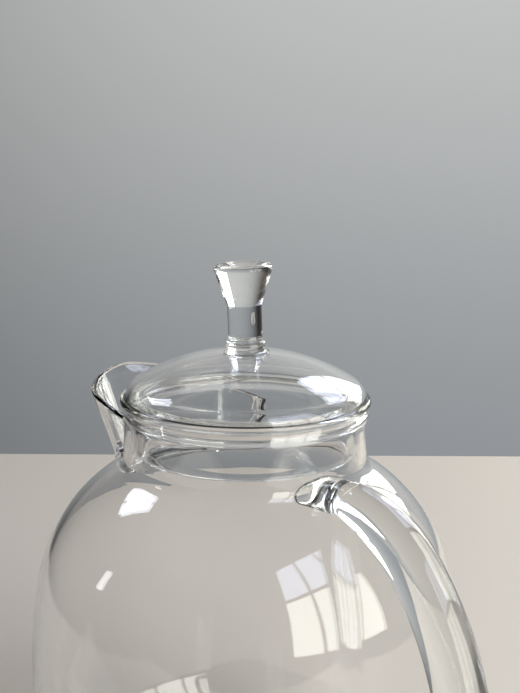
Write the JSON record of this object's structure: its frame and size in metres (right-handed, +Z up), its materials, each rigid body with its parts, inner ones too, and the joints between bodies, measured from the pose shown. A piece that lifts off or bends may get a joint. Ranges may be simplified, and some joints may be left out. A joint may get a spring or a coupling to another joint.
{
  "type": "glass teapot",
  "caption": "Clear glass teapot with a beak spout, a bent rod handle, and a loose domed lid with a locating collar and a solid knob.",
  "frame": {"origin": "on the pot's axis, in the flat base that it stands on", "axes": "+Z up along the pot's axis, the handle towards +X and the spout towards -X"},
  "size_m": [0.1958, 0.1484, 0.2043],
  "materials": {
    "pot_glass": "clear, fire-polished",
    "lid_glass": "clear, fire-polished"
  },
  "bodies": {
    "pot": {"body": "pot_glass", "spout": "pot_glass", "handle": "pot_glass"},
    "lid": {"lid_dome": "lid_glass", "lid_collar": "lid_glass", "lid_knob": "lid_glass"}
  },
  "joints": [
    {"name": "lid_lift", "type": "slide", "parent": "pot", "child": "lid", "axis": [0, 0, 1], "range_m": [0, 0.06]}
  ]
}
